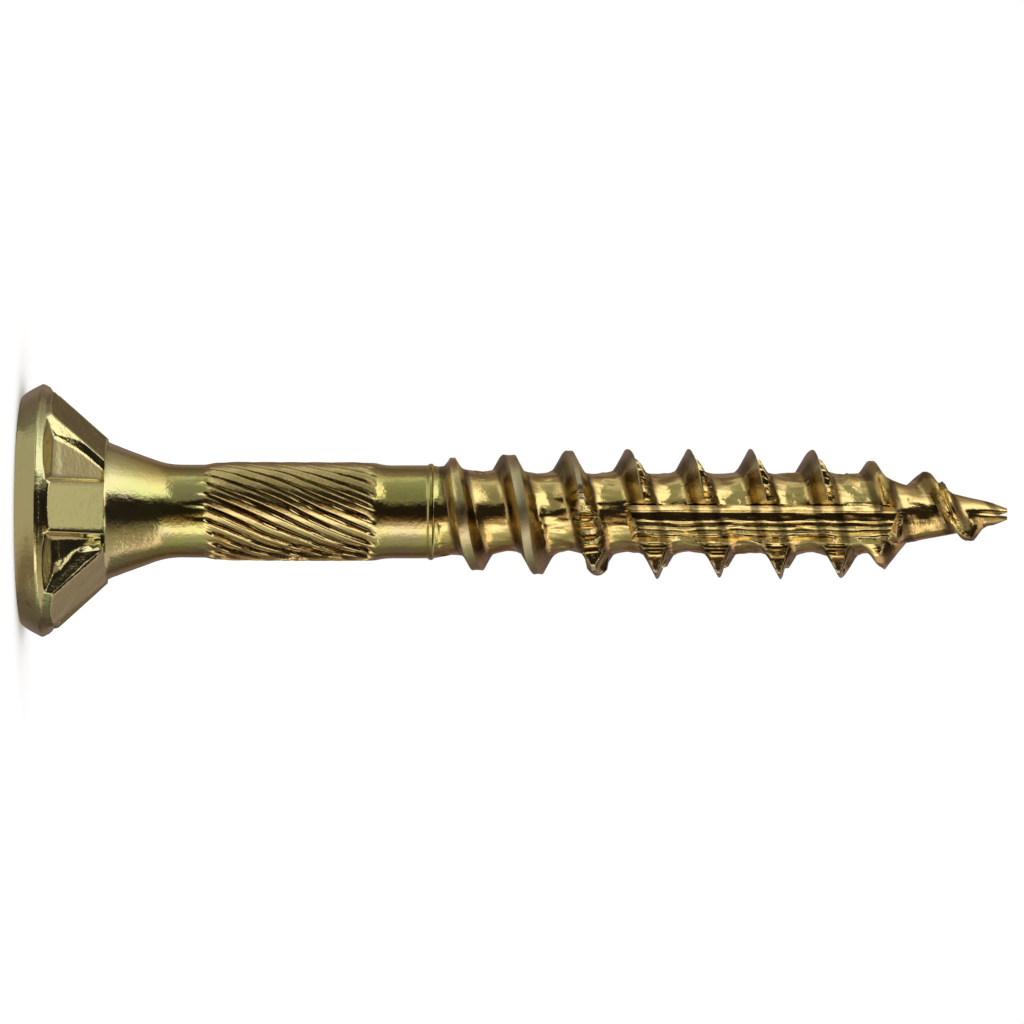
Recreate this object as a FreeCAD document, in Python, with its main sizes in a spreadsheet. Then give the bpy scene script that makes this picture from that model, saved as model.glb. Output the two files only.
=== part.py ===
"""Flat head wood screw: ribbed countersunk head, six-lobe recess, knurled shank, notched thread, flute.

The screw stands on its head. Its axis is Z, the head's face lies at height 0 and the point is on top.
"""
import FreeCAD, Part
import math
import os
import Sketcher

NODE = "wood_screw"

# Points along one turn of a helical edge
STATIONS_PER_TURN = 16
# Faces along one turn of a helical side
FACES_PER_TURN = 2

# Alias, value and meaning of each driving dimension: millimetres, degrees or a plain count
DIMENSIONS = [
    ("overall_length", 38.1, "head face to point"),
    ("head_radius", 4.888, "widest circle of the head"),
    ("face_inset", 0.488, "edge of the flat face inside the widest circle"),
    ("bevel_height", 0.81, "face to the widest circle"),
    ("rim_height", 1.08, "face to the back edge of the rim"),
    ("rim_inset", 0.12, "that edge inside the widest circle"),
    ("seat_angle", 45, "slope of the countersunk seat against the axis"),
    ("seat_height", 1.132, "height where a rib's plane would pass the widest circle"),
    ("rib_rise", 0.03, "rib above the cone between two ribs"),
    ("rib_count", 6, "ribs under the head"),
    ("rib_width", 1.85, "flat top of a rib"),
    ("rib_depth", 0.55, "depth of a rib's sloping sides"),
    ("rib_start", 1.24, "height of a rib's end at the rim"),
    ("rib_end_reach", 2.72, "distance of a rib's end from the axis, at the neck"),
    ("pocket_wall_foot", 1.43, "height of the foot of the rim's wall in a pocket"),
    ("pocket_wall_inset", 0.788, "that foot inside the widest circle"),
    ("pocket_crease", 1.80, "height of the crease across a pocket's floor"),
    ("pocket_crease_inset", 0.998, "that crease inside the widest circle"),
    ("neck_foot_radius", 2.45, "neck where its steep foot ends"),
    ("neck_foot_length", 0.62, "ends of the ribs to the end of the steep foot"),
    ("neck_foot_round", 1.62, "concave round of the foot"),
    ("neck_angle", 20, "slope of the neck's cone against the axis"),
    ("neck_round", 2.92, "concave round from the neck to the shank"),
    ("neck_length", 2.85, "ends of the ribs to the plain shank"),
    ("shank_radius", 1.797, "plain shank"),
    ("knurl_radius", 1.913, "crests of the knurl"),
    ("knurl_start", 7.20, "height where the knurl rises from the shank"),
    ("knurl_full", 8.80, "height where its crests are full"),
    ("knurl_fade", 12.70, "height where its crests begin to fall"),
    ("knurl_end", 13.65, "height where it meets the shank again"),
    ("knurl_count", 24, "grooves of the knurl"),
    ("knurl_groove_depth", 0.20, "depth of a groove below the crests"),
    ("knurl_groove_width", 0.85, "width of a groove at the crests, along the axis"),
    ("knurl_lead", 24.9, "height of one whole turn of a groove"),
    ("collar_radius", 1.86, "small bead above the plain shank"),
    ("collar_height", 15.84, "height of the bead's crest"),
    ("collar_half", 0.16, "half the height of the bead"),
    ("throat_radius", 1.66, "end of the step down from the shank"),
    ("throat_height", 16.75, "height of that end"),
    ("root_radius", 1.54, "root of the thread"),
    ("root_start", 19.0, "height where the root is parallel"),
    ("taper_start", 33.05, "height where the root begins to taper"),
    ("taper_knee_radius", 1.17, "root at the knee of the taper"),
    ("taper_knee", 33.95, "height of the knee"),
    ("nose_radius", 0.50, "root at the foot of the point"),
    ("nose_height", 37.25, "height of the foot of the point"),
    ("tip_radius", 0.12, "blunt end of the point"),
    ("thread_radius", 2.47, "full crest of the thread"),
    ("thread_early_radius", 2.18, "crest where the thread has risen from the shank"),
    ("thread_pitch", 2.351, "height of one turn"),
    ("thread_phase", 19.92, "height of a crest at azimuth 0"),
    ("thread_base", 1.16, "width of the thread at its root"),
    ("thread_crest", 0.22, "width of the full crest"),
    ("thread_sink", 0.22, "how far a thread's foot reaches into the core"),
    ("thread_first_turn", -1.85, "turn where the thread leaves the shank"),
    ("thread_risen_turn", -1.40, "turn where its early crest is reached"),
    ("thread_full_turn", 1.2, "turn where its crest is full"),
    ("thread_fade_turn", 5.05, "turn where it begins to fade"),
    ("thread_last_turn", 6.1, "turn where it is lost in the root"),
    ("point_thread_phase", 33.27, "height of the point thread's crest at azimuth 0"),
    ("point_thread_pitch", 3.36, "height of one turn of the point thread"),
    ("point_thread_base", 1.10, "width of the point thread at its root"),
    ("point_thread_crest", 0.16, "width of its crest"),
    ("point_thread_first_turn", -0.55, "turn where it leaves the core"),
    ("point_thread_last_turn", 1.22, "turn where it ends near the tip"),
    ("point_thread_radius", 2.11, "its highest crest"),
    ("point_thread_end_radius", 0.72, "its crest near the tip"),
    ("point_thread_fall", 1.3, "how evenly its crest falls: 1 is a straight line"),
    ("recess_outer", 4.50, "across the lobes of the recess"),
    ("recess_inner", 3.25, "across the waists of the recess"),
    ("lobe_round", 0.38, "radius of a lobe's end"),
    ("recess_depth", 2.30, "depth of the lobes"),
    ("recess_point", 0.55, "depth of the cone below the lobes"),
    ("flute_azimuth", -88, "direction that the flute's floor faces"),
    ("flute_floor", 0.95, "distance of the floor from the axis"),
    ("flute_wall", 0.04, "distance of the flute's wall from the middle"),
    ("flute_width", 1.46, "width of the flute"),
    ("flute_start", 23.45, "height where the flute begins"),
    ("flute_end", 33.75, "height where it ends"),
    ("flute_groove_count", 4, "fine grooves along the floor, beside the wall"),
    ("flute_groove_depth", 0.07, "their depth"),
    ("flute_groove_pitch", 0.21, "their distance"),
]

# Heights that follow from the sheet: the planes of the ribs meet on the axis, and the neck starts at
# the ribs' far ends
RIB_APEX = "(dims.head_radius + dims.seat_height)"
CONE_APEX = f"({RIB_APEX} - dims.rib_rise * sqrt(2))"
RIB_END = f"({RIB_APEX} - dims.rib_end_reach)"
NECK_FOOT = f"({RIB_END} + dims.neck_foot_length)"
NECK_END = f"({RIB_END} + dims.neck_length)"
FACE_RADIUS = "(dims.head_radius - dims.face_inset)"

document = FreeCAD.newDocument(NODE)
sheet = document.addObject("Spreadsheet::Sheet", "dims")
for row, (alias, value, meaning) in enumerate(DIMENSIONS, start=1):
    sheet.set(f"A{row}", meaning)
    sheet.set(f"B{row}", str(value))
    sheet.setAlias(f"B{row}", alias)
document.recompute()


def size(formula):
    """Number that a formula of the sheet's cells gives now."""
    return float(sheet.evalExpression(formula))


def count(alias):
    """Whole number held by one cell."""
    return int(round(size("dims." + alias)))


def origin_part(body, role):
    """Plane or axis of a body's own origin."""
    return next(part for part in body.Origin.OriginFeatures if part.Role == role)


def new_sketch(body, name, plane="XZ_Plane"):
    sketch = body.newObject("Sketcher::SketchObject", name)
    sketch.AttachmentSupport = [(origin_part(body, plane), "")]
    sketch.MapMode = "FlatFace"
    return sketch


def pin(sketch, edge, end, across, up):
    """Hold one end of an edge at two formulas, measured from the sketch's origin."""
    for kind, axis, formula in (("DistanceX", -2, across), ("DistanceY", -1, up)):
        distance = size(formula)
        if formula == "0":
            sketch.addConstraint(Sketcher.Constraint("PointOnObject", edge, end, axis))
            continue
        ends = (-1, 1, edge, end) if distance >= 0 else (edge, end, -1, 1)
        number = sketch.addConstraint(Sketcher.Constraint(kind, *ends, abs(distance)))
        signed = formula if distance >= 0 else f"-({formula})"
        sketch.setExpression(f"Constraints[{number}]", signed)


def arc_between(start, end, radius):
    """Circular arc from start to end: it turns left where the radius is positive, else right."""
    middle = (start + end) * 0.5
    chord = end - start
    left = FreeCAD.Vector(-chord.y, chord.x, 0).normalize()
    rise = math.sqrt(radius * radius - chord.Length ** 2 / 4)
    centre = middle + left * math.copysign(rise, radius)
    angles = [math.atan2(point.y - centre.y, point.x - centre.x) for point in (start, end)]
    if radius < 0:
        angles.reverse()
    circle = Part.Circle(centre, FreeCAD.Vector(0, 0, 1), abs(radius))
    return Part.ArcOfCircle(circle, *angles)


def draw_outline(sketch, corners):
    """Closed outline. A corner is two formulas, and a third gives the radius of the arc that follows."""
    places = [FreeCAD.Vector(size(corner[0]), size(corner[1]), 0) for corner in corners]
    joints = []
    for index, corner in enumerate(corners):
        start, end = places[index], places[(index + 1) % len(places)]
        if len(corner) == 3:
            radius = size(corner[2])
            edge = sketch.addGeometry(arc_between(start, end, radius), False)
            held = sketch.addConstraint(Sketcher.Constraint("Radius", edge, abs(radius)))
            sketch.setExpression(f"Constraints[{held}]", f"abs({corner[2]})")
            joints.append((edge, 1, 2) if radius > 0 else (edge, 2, 1))
        else:
            edge = sketch.addGeometry(Part.LineSegment(start, end), False)
            joints.append((edge, 1, 2))
    for index, (edge, first, last) in enumerate(joints):
        following, start_of_next, unused = joints[(index + 1) % len(joints)]
        sketch.addConstraint(Sketcher.Constraint("Coincident", edge, last, following, start_of_next))
    for (edge, first, last), corner in zip(joints, corners):
        pin(sketch, edge, first, corner[0], corner[1])


def revolve(body, sketch, name, kind="PartDesign::Revolution"):
    feature = body.newObject(kind, name)
    feature.Profile = sketch
    feature.ReferenceAxis = (sketch, ["V_Axis"])
    feature.Angle = 360
    return feature


def repeat(body, feature, name, count_formula):
    """Copies of a feature evenly round the screw's axis."""
    pattern = body.newObject("PartDesign::PolarPattern", name)
    pattern.Originals = [feature]
    pattern.Axis = (origin_part(body, "Z_Axis"), [""])
    pattern.Angle = 360
    pattern.setExpression("Occurrences", count_formula)
    body.Tip = pattern
    return pattern


def checked_volume(body, change, what):
    """Volume after a step, which has to grow or shrink as the step means it to."""
    before = body.Shape.Volume if body.Shape.Solids else 0.0
    document.recompute()
    after = body.Shape.Volume
    if (after - before) * change <= 0:
        raise RuntimeError(f"{what} left the volume at {after:.3f} from {before:.3f}")
    return after


def head_and_neck(body):
    """Rim, countersunk cone and the concave neck down to the plain shank, in one revolve."""
    sketch = new_sketch(body, "head_profile")
    cone_end = f"({RIB_END} - 0.05)"
    draw_outline(sketch, [
        ("0", "0"),
        (FACE_RADIUS, "0"),
        ("dims.head_radius", "dims.bevel_height"),
        ("dims.head_radius - dims.rim_inset", "dims.rim_height"),
        ("dims.head_radius - dims.rim_inset", f"{CONE_APEX} - dims.head_radius + dims.rim_inset"),
        (f"{CONE_APEX} - {cone_end}", cone_end, "-dims.neck_foot_round"),
        ("dims.neck_foot_radius", NECK_FOOT),
        ("dims.shank_radius + dims.neck_round * (1 - cos(dims.neck_angle))",
         f"{NECK_END} - dims.neck_round * sin(dims.neck_angle)", "-dims.neck_round"),
        ("dims.shank_radius", NECK_END),
        ("0", NECK_END),
    ])
    revolve(body, sketch, "head_cone")
    checked_volume(body, 1, "head cone")


def pockets(body):
    """Flat pocket floors between the ribs: a wall under the rim, a crease and a long floor to the neck."""
    sketch = new_sketch(body, "pocket_profile")
    draw_outline(sketch, [
        ("dims.head_radius - dims.rim_inset", "dims.rim_height"),
        ("dims.head_radius + 1", "dims.rim_height"),
        ("dims.head_radius + 1", RIB_END),
        (f"{CONE_APEX} - {RIB_END}", RIB_END),
        ("dims.head_radius - dims.pocket_crease_inset", "dims.pocket_crease"),
        ("dims.head_radius - dims.pocket_wall_inset", "dims.pocket_wall_foot"),
    ])
    pocket = body.newObject("PartDesign::Pocket", "pocket")
    pocket.Profile = sketch
    pocket.SideType = "Symmetric"
    pocket.setExpression("Length", "dims.head_radius * 2.4")
    checked_volume(body, -1, "first pocket")
    repeat(body, pocket, "pockets", "dims.rib_count")
    checked_volume(body, -1, "pockets")


def ribs(body):
    """Flat-topped ribs along the seat, with sides that slope down into the pockets."""
    sketch = new_sketch(body, "rib_outline", "XY_Plane")
    turn = FreeCAD.Rotation(FreeCAD.Vector(1, 0, 0), size("dims.seat_angle"))
    sketch.AttachmentOffset = FreeCAD.Placement(FreeCAD.Vector(0, 0, size(RIB_APEX)), turn)
    sketch.setExpression(".AttachmentOffset.Base.z", RIB_APEX)
    sketch.setExpression(".AttachmentOffset.Rotation.Angle", "dims.seat_angle")
    low = f"-({RIB_APEX} - dims.rib_start) / cos(dims.seat_angle)"
    high = "-dims.rib_end_reach / cos(dims.seat_angle)"
    draw_outline(sketch, [
        ("-dims.rib_width / 2", low),
        ("dims.rib_width / 2", low),
        ("dims.rib_width / 2", high),
        ("-dims.rib_width / 2", high),
    ])
    rib = body.newObject("PartDesign::Pad", "rib")
    rib.Profile = sketch
    rib.Reversed = True
    rib.TaperAngle = size("dims.seat_angle")
    rib.setExpression("TaperAngle", "dims.seat_angle")
    rib.setExpression("Length", "dims.rib_depth")
    checked_volume(body, 1, "first rib")
    repeat(body, rib, "ribs", "dims.rib_count")
    checked_volume(body, 1, "ribs")
    trim = new_sketch(body, "rib_trim_profile")
    draw_outline(trim, [
        (FACE_RADIUS, "0"),
        ("dims.head_radius + 1", "0"),
        ("dims.head_radius + 1", RIB_END),
        ("dims.head_radius", RIB_END),
        ("dims.head_radius", "dims.bevel_height"),
    ])
    revolve(body, trim, "rib_trim", "PartDesign::Groove")
    checked_volume(body, -1, "trim of the ribs at the rim")


def shank_and_core(body):
    """Knurl blank, plain shank, bead, thread core and tapered point, in one revolve."""
    sketch = new_sketch(body, "shank_profile")
    draw_outline(sketch, [
        ("0", NECK_END),
        ("dims.shank_radius", NECK_END),
        ("dims.shank_radius", "dims.knurl_start"),
        ("dims.knurl_radius", "dims.knurl_full"),
        ("dims.knurl_radius", "dims.knurl_fade"),
        ("dims.shank_radius", "dims.knurl_end"),
        ("dims.shank_radius", "dims.collar_height - dims.collar_half"),
        ("dims.collar_radius", "dims.collar_height"),
        ("dims.shank_radius", "dims.collar_height + dims.collar_half"),
        ("dims.throat_radius", "dims.throat_height"),
        ("dims.root_radius", "dims.root_start"),
        ("dims.root_radius", "dims.taper_start"),
        ("dims.taper_knee_radius", "dims.taper_knee"),
        ("dims.nose_radius", "dims.nose_height"),
        ("dims.tip_radius", "dims.overall_length"),
        ("0", "dims.overall_length"),
    ])
    revolve(body, sketch, "shank")
    checked_volume(body, 1, "shank")


def recess(body):
    """Six-lobe recess in the head's face, with the shallow cone that the punch leaves."""
    sketch = new_sketch(body, "recess_outline", "XY_Plane")
    lobe_centre = "(dims.recess_outer / 2 - dims.lobe_round)"
    waist = "(dims.recess_inner / 2)"
    waist_round = (f"({lobe_centre} ^ 2 + {waist} ^ 2 - 2 * {lobe_centre} * {waist} * cos(30)"
                   f" - dims.lobe_round ^ 2) / (2 * ({lobe_centre} * cos(30) + dims.lobe_round - {waist}))")
    lobe_arm, lobe_radius = size(lobe_centre), size("dims.lobe_round")
    waist_radius = size(waist_round)
    waist_arm = size(waist) + waist_radius
    lobes = [FreeCAD.Vector(lobe_arm, 0, 0), ]
    edges = []
    for step in range(6):
        spin = FreeCAD.Rotation(FreeCAD.Vector(0, 0, 1), 60 * step)
        half = FreeCAD.Rotation(FreeCAD.Vector(0, 0, 1), 60 * step + 30)
        back = FreeCAD.Rotation(FreeCAD.Vector(0, 0, 1), 60 * step - 30)
        lobe = spin.multVec(lobes[0])
        waists = [turn.multVec(FreeCAD.Vector(waist_arm, 0, 0)) for turn in (back, half)]
        touch = [lobe + (other - lobe).normalize() * lobe_radius for other in waists]
        edges.append((lobe, lobe_radius, touch[0], touch[1]))
        following = FreeCAD.Rotation(FreeCAD.Vector(0, 0, 1), 60 * (step + 1)).multVec(lobes[0])
        arrival = following + (waists[1] - following).normalize() * lobe_radius
        edges.append((waists[1], waist_radius, arrival, touch[1]))
    for centre, radius, start, end in edges:
        angles = [math.atan2(point.y - centre.y, point.x - centre.x) for point in (start, end)]
        sketch.addGeometry(Part.ArcOfCircle(Part.Circle(centre, FreeCAD.Vector(0, 0, 1), radius), *angles), False)
    for step in range(6):
        lobe, bulge, following = 2 * step, 2 * step + 1, (2 * step + 2) % 12
        sketch.addConstraint(Sketcher.Constraint("Tangent", lobe, 2, bulge, 2))
        sketch.addConstraint(Sketcher.Constraint("Tangent", bulge, 1, following, 1))
        across = f"{lobe_centre} * cos({60 * step})" if step % 3 != 5 else "0"
        pin(sketch, lobe, 3, across, f"{lobe_centre} * sin({60 * step})" if step % 3 else "0")
        for edge, formula in ((lobe, "dims.lobe_round"), (bulge, waist_round)):
            held = sketch.addConstraint(Sketcher.Constraint("Radius", edge, size(formula)))
            sketch.setExpression(f"Constraints[{held}]", formula)
    lobes_cut = body.newObject("PartDesign::Pocket", "recess")
    lobes_cut.Profile = sketch
    lobes_cut.Reversed = True
    lobes_cut.setExpression("Length", "dims.recess_depth")
    checked_volume(body, -1, "recess")
    cone = new_sketch(body, "recess_cone_profile")
    draw_outline(cone, [
        ("0", "dims.recess_depth - 0.2"),
        ("dims.recess_inner / 2 - 0.05", "dims.recess_depth - 0.2"),
        ("dims.recess_inner / 2 - 0.05", "dims.recess_depth"),
        ("0", "dims.recess_depth + dims.recess_point"),
    ])
    revolve(body, cone, "recess_cone", "PartDesign::Groove")
    checked_volume(body, -1, "recess cone")


def blank():
    """Headed screw before its knurl and thread are rolled."""
    body = document.addObject("PartDesign::Body", "blank")
    head_and_neck(body)
    pockets(body)
    ribs(body)
    shank_and_core(body)
    recess(body)
    return body


def core_radius(height):
    """Radius of the thread's core at a height, read along its outline."""
    outline = [
        ("knurl_start", "shank_radius"),
        ("collar_height", "shank_radius"),
        ("throat_height", "throat_radius"),
        ("root_start", "root_radius"),
        ("taper_start", "root_radius"),
        ("taper_knee", "taper_knee_radius"),
        ("nose_height", "nose_radius"),
        ("overall_length", "tip_radius"),
    ]
    corners = [(size("dims." + level), size("dims." + radius)) for level, radius in outline]
    for (low, wide), (high, narrow) in zip(corners, corners[1:]):
        if height <= high:
            share = max(0.0, (height - low) / (high - low))
            return wide + (narrow - wide) * share
    return corners[-1][1]


def helical_solid(first, last, section_at):
    """Solid of four sides that winds round the axis. section_at gives, for a turn, the height of its
    middle, the radius and half width of its foot, and the radius and half width of its crest."""
    steps = max(8, int(math.ceil((last - first) * STATIONS_PER_TURN)))
    turns = [first + (last - first) * step / steps for step in range(steps + 1)]
    rails = [[], [], [], []]
    for turn in turns:
        middle, foot, foot_half, crest, crest_half = section_at(turn)
        azimuth = 2 * math.pi * turn
        corners = ((foot, -foot_half), (crest, -crest_half), (crest, crest_half), (foot, foot_half))
        for rail, (radius, along) in zip(rails, corners):
            rail.append(FreeCAD.Vector(radius * math.cos(azimuth), radius * math.sin(azimuth), middle + along))
    pieces = max(1, int(math.ceil((last - first) * FACES_PER_TURN)))
    breaks = [first + (last - first) * piece / pieces for piece in range(pieces + 1)]
    edges = []
    for rail in rails:
        curve = Part.BSplineCurve()
        curve.interpolate(Points=rail, Parameters=turns)
        edges.append([curve.toShape(low, high) for low, high in zip(breaks, breaks[1:])])
    faces = []
    for side in range(4):
        pairs = zip(edges[side], edges[(side + 1) % 4])
        faces.extend(Part.makeRuledSurface(edge, opposite) for edge, opposite in pairs)
    for end in (0, -1):
        ring = [rail[end] for rail in rails]
        faces.append(Part.Face(Part.makePolygon(ring + ring[:1])))
    shell = Part.makeShell(faces)
    shell.sewShape()
    solid = Part.makeSolid(Part.makeShell(shell.Faces))
    if solid.Volume < 0:
        solid.reverse()
    return solid


def hold(name, shape):
    """Shape kept in the document as an object of its own."""
    feature = document.addObject("Part::Feature", name)
    feature.Shape = shape
    return feature


def rising(turn, first, last):
    """Share of the way from one turn to another, held between 0 and 1."""
    return min(1.0, max(0.0, (turn - first) / (last - first)))


def main_thread():
    """Coarse right-hand thread from the shank to the taper: its crest is cut lower at both ends."""
    full, early = size("dims.thread_radius"), size("dims.thread_early_radius")
    base, crest = size("dims.thread_base") / 2, size("dims.thread_crest") / 2
    flank = (base - crest) / (full - size("dims.root_radius"))
    first, risen = size("dims.thread_first_turn"), size("dims.thread_risen_turn")
    grown, fade, last = (size(f"dims.thread_{stage}_turn") for stage in ("full", "fade", "last"))
    sink = size("dims.thread_sink")

    def section_at(turn):
        middle = size("dims.thread_phase") + size("dims.thread_pitch") * turn
        foot = min(core_radius(middle - base), core_radius(middle + base)) - sink
        start_height = core_radius(middle) - sink / 2
        top = start_height + (early - start_height) * rising(turn, first, risen)
        top += (full - early) * rising(turn, risen, grown)
        top += (foot + sink / 2 - full) * rising(turn, fade, last)
        return middle, foot, crest + (full - foot) * flank, top, crest + (full - top) * flank

    return hold("main_thread", helical_solid(first, last, section_at))


def point_thread():
    """Steeper thread of the point: it rises between two turns of the main thread and falls to the tip."""
    base, crest = size("dims.point_thread_base") / 2, size("dims.point_thread_crest") / 2
    first, last = size("dims.point_thread_first_turn"), size("dims.point_thread_last_turn")
    high, low = size("dims.point_thread_radius"), size("dims.point_thread_end_radius")
    fall, sink = size("dims.point_thread_fall"), size("dims.thread_sink")

    def section_at(turn):
        middle = size("dims.point_thread_phase") + size("dims.point_thread_pitch") * turn
        foot = max(min(core_radius(middle - base), core_radius(middle + base)) - sink, 0.1)
        start_height = core_radius(middle) - sink / 2
        if turn < 0:
            top = start_height + (high - start_height) * rising(turn, first, 0)
        else:
            top = high + (low - high) * rising(turn, 0, last) ** fall
        return middle, foot, base, top, crest

    return hold("point_thread", helical_solid(first, last, section_at))


def knurl_grooves():
    """Steep right-hand grooves round the raised band of the shank, as the rolls press them in."""
    depth, half = size("dims.knurl_groove_depth"), size("dims.knurl_groove_width") / 2
    bottom, crest = size("dims.knurl_radius") - depth, size("dims.knurl_radius")
    start, lead, grooves = size("dims.knurl_start"), size("dims.knurl_lead"), count("knurl_count")
    proud, flat = 0.1 * depth, 0.05 * half

    def section_at(turn):
        return start + lead * turn, bottom, flat, crest + proud, half * (1 + proud / depth)

    groove = helical_solid(0, (size("dims.knurl_end") - start) / lead, section_at)
    cuts = [groove.copy() for copy in range(grooves)]
    for copy, cut in enumerate(cuts):
        cut.rotate(FreeCAD.Vector(0, 0, 0), FreeCAD.Vector(0, 0, 1), 360 * copy / grooves)
    return hold("knurl_grooves", Part.makeCompound(cuts))


def threaded(body):
    """Blank with both threads as one solid."""
    grown = body
    for ridge in (main_thread(), point_thread()):
        joined = document.addObject("Part::Fuse", "with_" + ridge.Name)
        joined.Base = grown
        joined.Tool = ridge
        joined.Refine = False
        document.recompute()
        if joined.Shape.Volume <= grown.Shape.Volume:
            raise RuntimeError(f"{ridge.Name} added nothing")
        grown = joined
    return grown


def flute(body):
    """Long cutting groove near the point: a flat floor with fine grooves, and one upright wall."""
    sketch = new_sketch(body, "flute_section", "XY_Plane")
    spin = FreeCAD.Rotation(FreeCAD.Vector(0, 0, 1), size("dims.flute_azimuth") + 90)
    sketch.AttachmentOffset = FreeCAD.Placement(FreeCAD.Vector(0, 0, size("dims.flute_start")), spin)
    sketch.setExpression(".AttachmentOffset.Base.z", "dims.flute_start")
    sketch.setExpression(".AttachmentOffset.Rotation.Angle", "dims.flute_azimuth + 90")
    beyond = "-(dims.thread_radius + 1)"
    corners = [
        ("dims.flute_wall + dims.flute_width", "-dims.flute_floor"),
        ("dims.flute_wall + dims.flute_width", beyond),
        ("dims.flute_wall", beyond),
        ("dims.flute_wall", "-dims.flute_floor"),
    ]
    for groove in range(count("flute_groove_count")):
        corners.append((f"dims.flute_wall + dims.flute_groove_pitch * {groove + 0.5}",
                        "-dims.flute_floor + dims.flute_groove_depth"))
        corners.append((f"dims.flute_wall + dims.flute_groove_pitch * {groove + 1}", "-dims.flute_floor"))
    draw_outline(sketch, corners)
    pocket = body.newObject("PartDesign::Pocket", "flute")
    pocket.Profile = sketch
    pocket.Reversed = True
    pocket.setExpression("Length", "dims.flute_end - dims.flute_start")
    pocket.Refine = False
    checked_volume(body, -1, "flute")


def check_document():
    """Stop if any object of the document failed to compute."""
    for item in document.Objects:
        if "Invalid" in item.State or "Error" in item.State:
            raise RuntimeError(f"{item.Name} is {item.State}")


def knurled(body):
    """The finished screw: grooves pressed round the shank."""
    cut = document.addObject("Part::Cut", NODE)
    cut.Base = body
    cut.Tool = knurl_grooves()
    cut.Refine = False
    document.recompute()
    if cut.Shape.Volume >= body.Shape.Volume:
        raise RuntimeError("the knurl's grooves cut nothing")
    return cut


def main():
    fluted = document.addObject("PartDesign::Body", "fluted")
    fluted.BaseFeature = threaded(blank())
    document.recompute()
    flute(fluted)
    screw = knurled(fluted)
    screw.Label = NODE
    screw.Placement = FreeCAD.Placement()
    document.recompute()
    check_document()
    shape = screw.Shape
    if shape.isNull() or not shape.isValid() or len(shape.Solids) != 1:
        raise RuntimeError("the screw is not one valid solid")
    os.makedirs("parts", exist_ok=True)
    shape.exportStep(f"parts/{NODE}.step")
    print(f"{NODE}: {len(shape.Faces)} faces, {shape.Volume:.1f} cubic mm")


main()
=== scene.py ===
"""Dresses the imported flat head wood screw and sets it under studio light."""
import math

import bmesh
import bpy
import numpy as np
from mathutils import Matrix, Vector


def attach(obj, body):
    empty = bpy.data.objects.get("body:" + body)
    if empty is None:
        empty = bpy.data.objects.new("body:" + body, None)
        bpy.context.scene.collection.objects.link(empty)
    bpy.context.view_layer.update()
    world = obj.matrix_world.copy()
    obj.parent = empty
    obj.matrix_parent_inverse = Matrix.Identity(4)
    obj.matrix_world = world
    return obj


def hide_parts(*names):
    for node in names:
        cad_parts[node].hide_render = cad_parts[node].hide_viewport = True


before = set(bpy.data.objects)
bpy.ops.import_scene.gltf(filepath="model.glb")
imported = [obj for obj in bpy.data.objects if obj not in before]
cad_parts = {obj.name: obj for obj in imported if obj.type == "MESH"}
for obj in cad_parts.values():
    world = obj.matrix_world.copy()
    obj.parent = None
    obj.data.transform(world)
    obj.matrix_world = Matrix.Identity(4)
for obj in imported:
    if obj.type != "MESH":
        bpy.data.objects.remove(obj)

bl_info = {
    "name": "Flat Head Wood Screw",
    "version": (1, 0, 0),
    "blender": (4, 5, 0),
    "location": "View3D > Sidebar > Wood Screw",
    "description": "Rolled and plated wood screw with its studio",
    "category": "Object",
}

MM = 0.001
NODE = "wood_screw"

# Columns round the axis: a whole number to each rib and to each groove of the knurl
COLUMNS = 288
RIBS = 6
# Rows of one thread turn: -1 to 0 in the valley before the crest, 0 to 1 up its flank, 1 to 3 over its flat,
# 3 to 4 down the other flank, then on into the next valley
THREAD_ROWS = (-1.0, -0.66, -0.33, 0.0, 0.3, 0.6, 0.85, 1.0, 1.5, 2.0, 2.5, 3.0, 3.1, 3.25, 3.42, 3.6, 3.8, 4.0,
               4.33, 4.66)
FIRST_TURN, LAST_TURN = -4, 10
KNURL_ROWS = 40
SHARP_ANGLE = math.radians(48)
# Azimuth of the side that faces the photo's camera, and of the middle of the rib nearest to it
FACES_CAMERA = math.radians(-88)
FIRST_RIB = FACES_CAMERA - math.radians(2)
RIB_STEP = math.radians(60)
HALF_STEP = math.radians(30)


# Sizes below are in millimetres and heights are measured from the head's face, down to the material

def between(value, low, high):
    """0 below low, 1 above high, and a smooth rise in between."""
    share = np.clip((value - low) / (high - low), 0, 1)
    return share * share * (3 - 2 * share)


def blended_max(one, other, round_size):
    return 0.5 * (one + other + np.sqrt((one - other) ** 2 + round_size ** 2))


SEAT_EDGE = 4.768
RIM = ((0.0, 4.37), (0.02, 4.41), (0.06, 4.45), (0.12, 4.50), (0.35, 4.655), (0.58, 4.775), (0.70, 4.84),
       (0.77, 4.878), (0.80, 4.888), (0.83, 4.886), (0.87, 4.878), (1.03, 4.792), (1.06, 4.784),
       (1.09, SEAT_EDGE))
RIM_BACK = 1.08
FACE_MIDDLE = 4.33
# Ribs: where their 45 degree faces would meet the axis, half their width, their reach and where they end
RIB_APEX = 6.02
RIB_HALF = 0.925
RIB_START = 4.78
RIB_END = 3.30
# Slopes of a rib's side: a bevel, then a steeper wall down to the pocket
BEVEL_SLOPE, WALL_SLOPE = 1.2, 2.6
PLAIN_BEVEL = 0.07
POCKET = ((1.07, SEAT_EDGE), (1.40, 4.14), (1.60, 3.972), (1.72, 3.89), (3.30, 2.56))
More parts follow.
